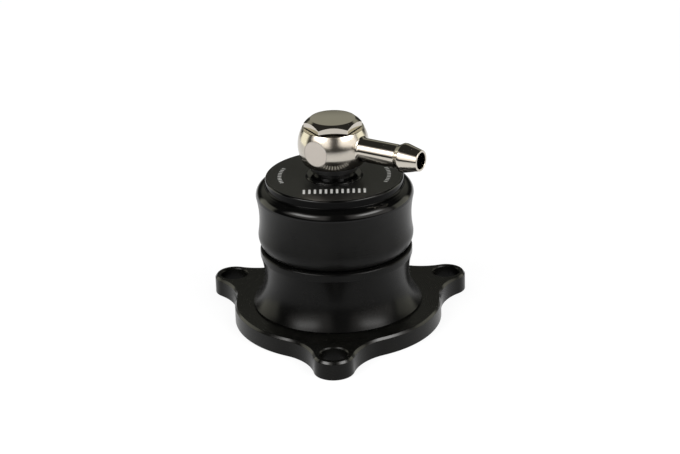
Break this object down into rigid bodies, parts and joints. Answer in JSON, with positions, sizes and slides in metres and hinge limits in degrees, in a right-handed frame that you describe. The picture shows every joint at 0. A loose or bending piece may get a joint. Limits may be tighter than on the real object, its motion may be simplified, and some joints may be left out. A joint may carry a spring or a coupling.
{
  "type": "blow off valve",
  "caption": "Piston blow off valve with an eared mounting flange, a waisted screw-on cap and a banjo hose fitting on top.",
  "frame": {"origin": "centre of the mounting face, on the axis of the piston's bore", "axes": "+Z along the bore from the mounting face to the cap, -Y to the front ear, +X to the right"},
  "size_m": [0.0626, 0.0606, 0.0515],
  "materials": {
    "black_anodised": "satin",
    "hard_anodised": "satin",
    "nickel_plate": "polished",
    "black_rubber": "matte",
    "spring_steel": "satin",
    "guide_polymer": "matte",
    "black_nylon": "matte"
  },
  "bodies": {
    "valve_body": {"base": "black_anodised", "cap": "black_anodised", "cap_seal": "black_rubber", "flange_seal": "black_rubber", "banjo_body": "nickel_plate", "hose_nipple": "nickel_plate", "banjo_bolt": "nickel_plate", "lower_seal_washer": "black_nylon", "upper_seal_washer": "black_nylon", "spring": "spring_steel"},
    "piston_group": {"piston": "hard_anodised", "piston_seal": "black_rubber", "guide_ring": "guide_polymer"}
  },
  "joints": [
    {"name": "piston_slide", "type": "slide", "parent": "valve_body", "child": "piston_group", "axis": [0, 0, 1], "range_m": [0, 0.0091], "stiffness_N_per_m": 4500, "springref_m": -0.0045, "deforming": ["spring"]}
  ]
}
